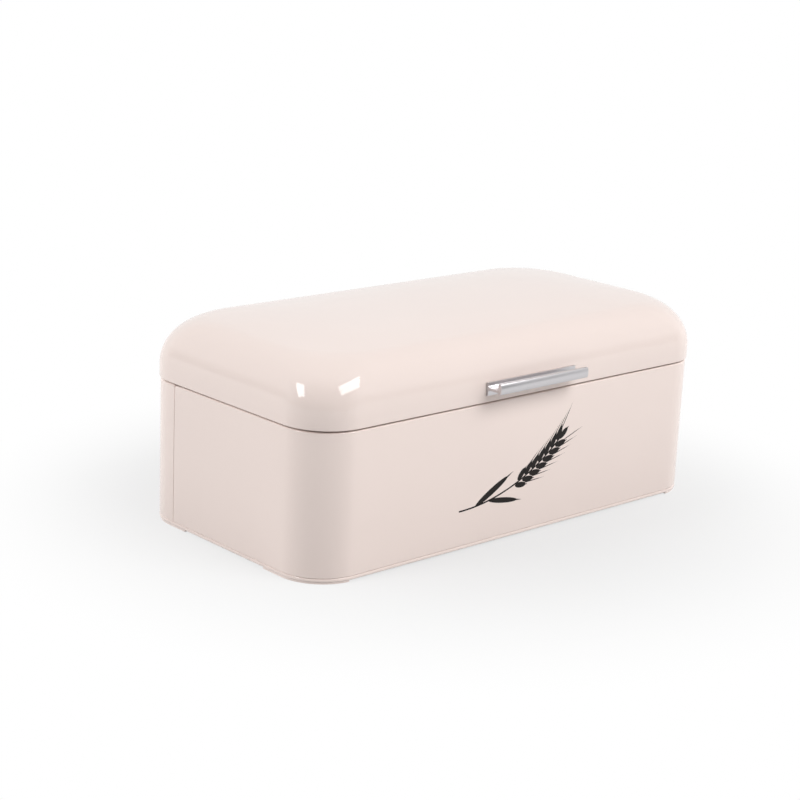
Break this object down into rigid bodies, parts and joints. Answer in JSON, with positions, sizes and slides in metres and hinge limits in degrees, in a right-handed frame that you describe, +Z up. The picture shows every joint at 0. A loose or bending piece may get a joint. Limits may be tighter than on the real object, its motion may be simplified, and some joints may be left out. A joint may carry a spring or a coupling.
{
  "type": "bread box",
  "caption": "Domed steel bread box: a rounded sheet-metal bin with a lid hinged along its rear edge and an extruded aluminium handle on the lid's front.",
  "frame": {"origin": "on the table, under the middle of the overall outline, handle and hinges included", "axes": "+X to the right along the length, +Y to the rear where the hinges are, +Z up"},
  "size_m": [0.43, 0.241, 0.17],
  "materials": {
    "cream_paint": "gloss",
    "satin_aluminium": "satin",
    "plated_steel": "satin"
  },
  "bodies": {
    "base": {"front_wrap": "cream_paint", "rear_wrap": "cream_paint", "base_pan": "cream_paint", "hinge_base_leaf_left": "plated_steel", "hinge_base_leaf_right": "plated_steel", "hinge_pin_left": "plated_steel", "hinge_pin_right": "plated_steel", "base_hinge_rivets": "plated_steel"},
    "lid": {"lid_shell": "cream_paint", "handle_bar": "satin_aluminium", "handle_screws": "plated_steel", "hinge_lid_leaf_left": "plated_steel", "hinge_lid_leaf_right": "plated_steel", "lid_hinge_rivets": "plated_steel"}
  },
  "joints": [
    {"name": "lid_hinge", "type": "hinge", "parent": "base", "child": "lid", "pos_m": [0, 0.1171, 0.1167], "axis": [-1, 0, 0], "range_deg": [0, 100]}
  ]
}
